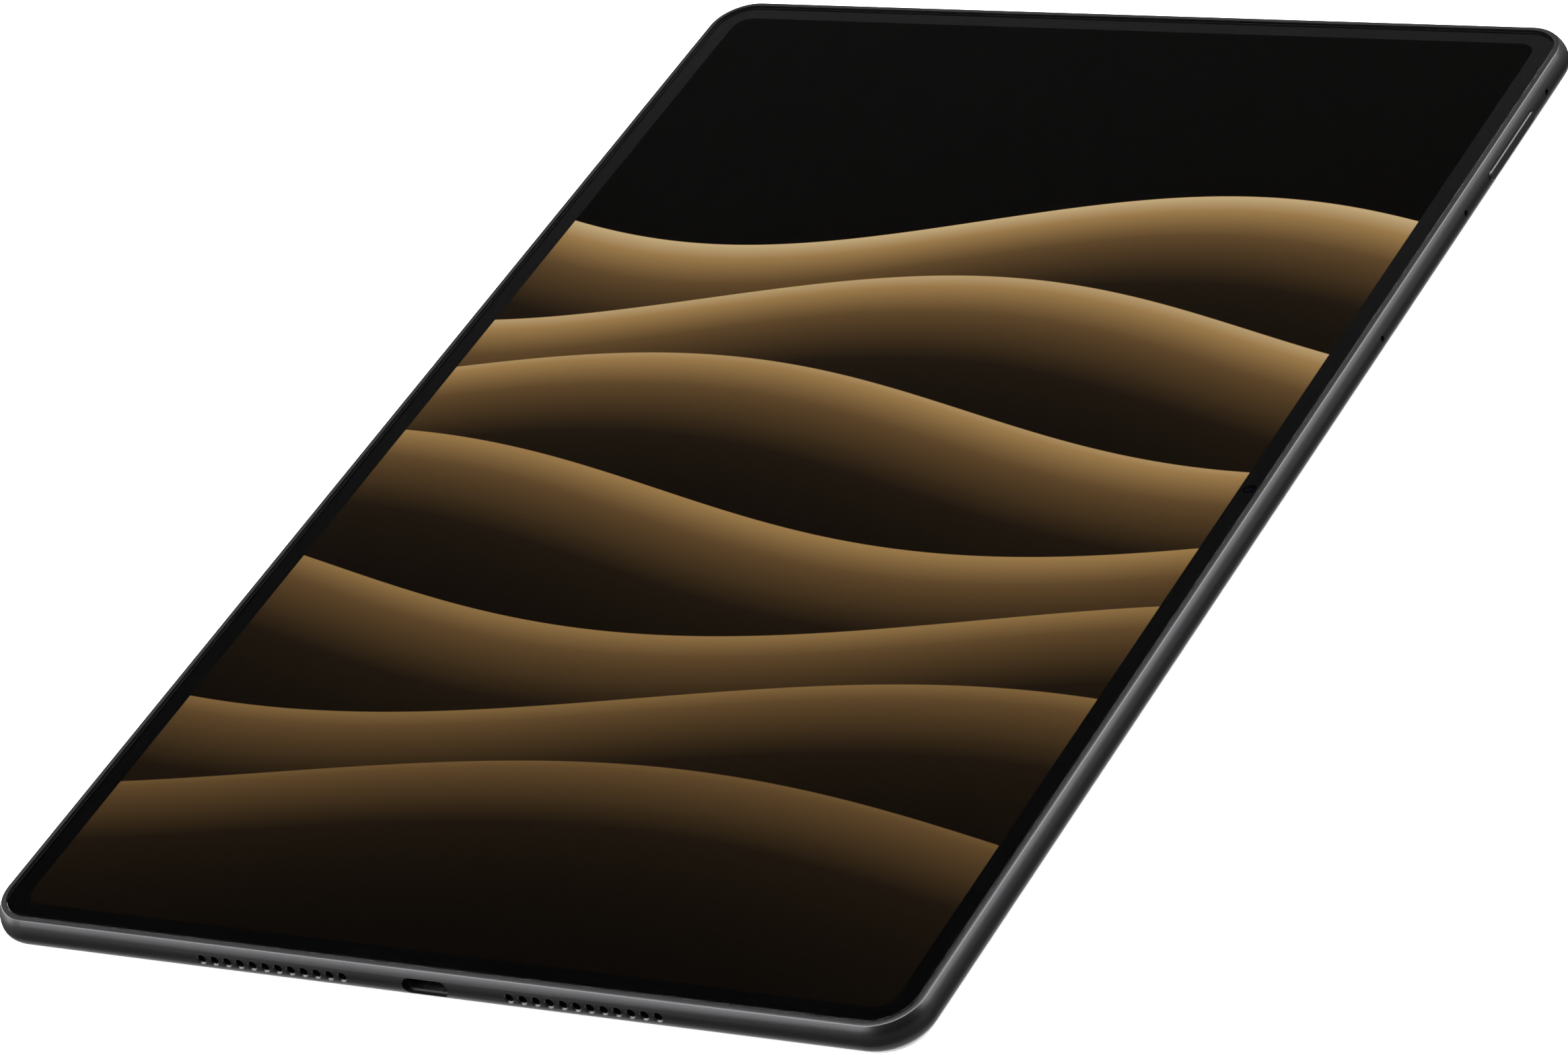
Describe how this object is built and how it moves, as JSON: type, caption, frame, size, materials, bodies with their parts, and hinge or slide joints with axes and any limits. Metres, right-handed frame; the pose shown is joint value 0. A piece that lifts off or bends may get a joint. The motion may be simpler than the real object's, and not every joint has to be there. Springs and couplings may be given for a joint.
{
  "type": "tablet computer",
  "caption": "Slim tablet computer with a metal rear housing, edge-to-edge glass, side keys, speaker holes, USB-C port and rear camera deck.",
  "frame": {"origin": "centre of the flat back face; the rear camera deck stands 1.9 mm below it", "axes": "+Z out of the screen, +Y towards the short side with the power button, +X towards the long side with the volume rocker; the USB-C port faces -Y"},
  "size_m": [0.1829, 0.2715, 0.0074],
  "materials": {
    "anodised_aluminium": "dark grey, fine bead-blasted and anodised, satin",
    "black_gasket": "dark grey moulded plastic, satin",
    "cover_glass": "clear strengthened glass, polished, rounded edge",
    "black_ink": "black ink printed under the glass",
    "adhesive": "black foam adhesive tape",
    "display": "lit display, dark with plain soft waves of warm light",
    "steel_sheet": "thin stamped stainless steel",
    "orange_flex": "polyimide flexible circuit",
    "magnesium_plate": "passivated stamped alloy plate",
    "dark_module": "black moulded camera module body",
    "lens_glass": "dark coated lens with a blue glint",
    "sensor_filter": "infra-red passing ink window",
    "green_board": "green solder mask with copper below",
    "chip_black": "black epoxy package",
    "graphite": "pressed graphite film",
    "battery_pouch": "grey laminated pouch",
    "port_steel": "dark plated drawn steel",
    "black_plastic": "black glass-filled plastic",
    "gold_contacts": "gold-plated copper alloy",
    "magnet_steel": "nickel-plated magnet and yoke",
    "diaphragm_film": "thin formed film with a wound coil",
    "mesh_steel": "fine black acoustic mesh",
    "camera_glass": "black-backed polished glass with clear lens windows",
    "flash_phosphor": "yellow phosphor under a clear lens",
    "screw_steel": "small cross-recess screws"
  },
  "bodies": {
    "tablet_body": {"rear_housing": "anodised_aluminium", "front_gasket": "black_gasket", "cover_glass": "cover_glass", "bezel_mask": "black_ink", "display_adhesive": "adhesive", "display_panel": "display", "display_back_plate": "steel_sheet", "display_flex": "orange_flex", "mid_plate": "magnesium_plate", "front_camera_can": "dark_module", "front_camera_lens": "lens_glass", "sensor_window": "sensor_filter", "light_sensor": "dark_module", "main_board": "green_board", "processor_chip": "chip_black", "memory_chip": "chip_black", "storage_chip": "chip_black", "power_chip": "chip_black", "wireless_chip": "chip_black", "board_shields": "steel_sheet", "thermal_sheet": "graphite", "battery_cell_lower": "battery_pouch", "battery_cell_upper": "battery_pouch", "battery_adhesive": "adhesive", "battery_protection_board": "green_board", "usb_sub_board": "green_board", "usb_c_shell": "port_steel", "usb_c_tongue": "black_plastic", "usb_c_contacts": "gold_contacts", "board_link_flex": "orange_flex", "speaker_box_1": "black_plastic", "speaker_box_2": "black_plastic", "speaker_box_3": "black_plastic", "speaker_box_4": "black_plastic", "speaker_magnets": "magnet_steel", "speaker_mesh": "mesh_steel", "microphones": "gold_contacts", "volume_switches": "steel_sheet", "power_switch": "steel_sheet", "side_key_flex": "orange_flex", "key_bracket": "steel_sheet", "rear_camera_deck": "anodised_aluminium", "rear_camera_glass": "camera_glass", "main_camera_can": "steel_sheet", "main_camera_sensor": "green_board", "wide_camera_module": "dark_module", "flash_led": "flash_phosphor", "antenna_modules": "black_plastic", "case_magnets": "magnet_steel", "frame_screws": "screw_steel", "board_screws": "screw_steel"},
    "volume_rocker": {"volume_rocker": "anodised_aluminium"},
    "power_button": {"power_button": "anodised_aluminium"},
    "focus_lens": {"main_camera_lens": "black_plastic"},
    "diaphragm_1": {"speaker_diaphragm_1": "diaphragm_film"},
    "diaphragm_2": {"speaker_diaphragm_2": "diaphragm_film"},
    "diaphragm_3": {"speaker_diaphragm_3": "diaphragm_film"},
    "diaphragm_4": {"speaker_diaphragm_4": "diaphragm_film"}
  },
  "joints": [
    {"name": "volume_rocker_tilt", "type": "hinge", "parent": "tablet_body", "child": "volume_rocker", "pos_m": [0.0878, 0.1023, 0.0026], "axis": [0, 0, 1], "range_deg": [-1, 1], "stiffness_Nm_per_rad": 0.75},
    {"name": "power_button_press", "type": "slide", "parent": "tablet_body", "child": "power_button", "axis": [0, -1, 0], "range_m": [0, 0.00025], "stiffness_N_per_m": 5000},
    {"name": "camera_focus", "type": "slide", "parent": "tablet_body", "child": "focus_lens", "axis": [0, 0, 1], "range_m": [-0.00015, 0.00015], "stiffness_N_per_m": 300},
    {"name": "speaker_1_stroke", "type": "slide", "parent": "tablet_body", "child": "diaphragm_1", "axis": [0, 0, 1], "range_m": [-0.00025, 0.00025], "stiffness_N_per_m": 1200},
    {"name": "speaker_2_stroke", "type": "slide", "parent": "tablet_body", "child": "diaphragm_2", "axis": [0, 0, 1], "range_m": [-0.00025, 0.00025], "stiffness_N_per_m": 1200},
    {"name": "speaker_3_stroke", "type": "slide", "parent": "tablet_body", "child": "diaphragm_3", "axis": [0, 0, 1], "range_m": [-0.00025, 0.00025], "stiffness_N_per_m": 1200},
    {"name": "speaker_4_stroke", "type": "slide", "parent": "tablet_body", "child": "diaphragm_4", "axis": [0, 0, 1], "range_m": [-0.00025, 0.00025], "stiffness_N_per_m": 1200}
  ]
}
